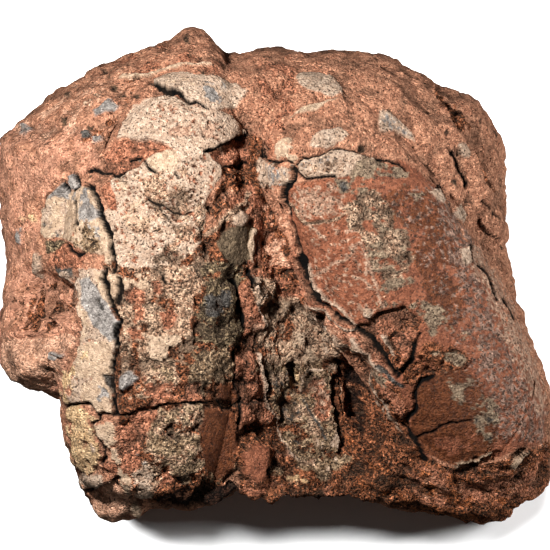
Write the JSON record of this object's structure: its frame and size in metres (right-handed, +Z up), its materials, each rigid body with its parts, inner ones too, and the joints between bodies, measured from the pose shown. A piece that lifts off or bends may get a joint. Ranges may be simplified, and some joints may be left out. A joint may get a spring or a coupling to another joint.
{
  "type": "fossil dinosaur egg clutch in a sandstone block",
  "caption": "Red sandstone block with elongated fossil dinosaur eggs laid bare side by side on its broken upper face.",
  "frame": {"origin": "middle of the bounding box's footprint, on the surface that the block lies on", "axes": "+Z up, +X to the right along the block's longest side as its broken face is looked at, +Y away from the viewer; the broken face looks up and towards -Y"},
  "size_m": [0.2256, 0.1876, 0.1454],
  "materials": {
    "sandstone": "rough red sandstone with grit, pebbles and broken ledges",
    "eggshell_pale": "cream and grey fossil shell, pitted and cracked, over red rock",
    "eggshell_brown": "smooth reddish-brown egg with flakes of grey-cream crust",
    "eggshell_crusted": "dull grey-ochre shell under a crumbly crust"
  },
  "bodies": {
    "root": {"matrix": "sandstone", "egg_left": "eggshell_pale", "egg_right": "eggshell_brown", "egg_middle": "eggshell_crusted"}
  },
  "joints": []
}
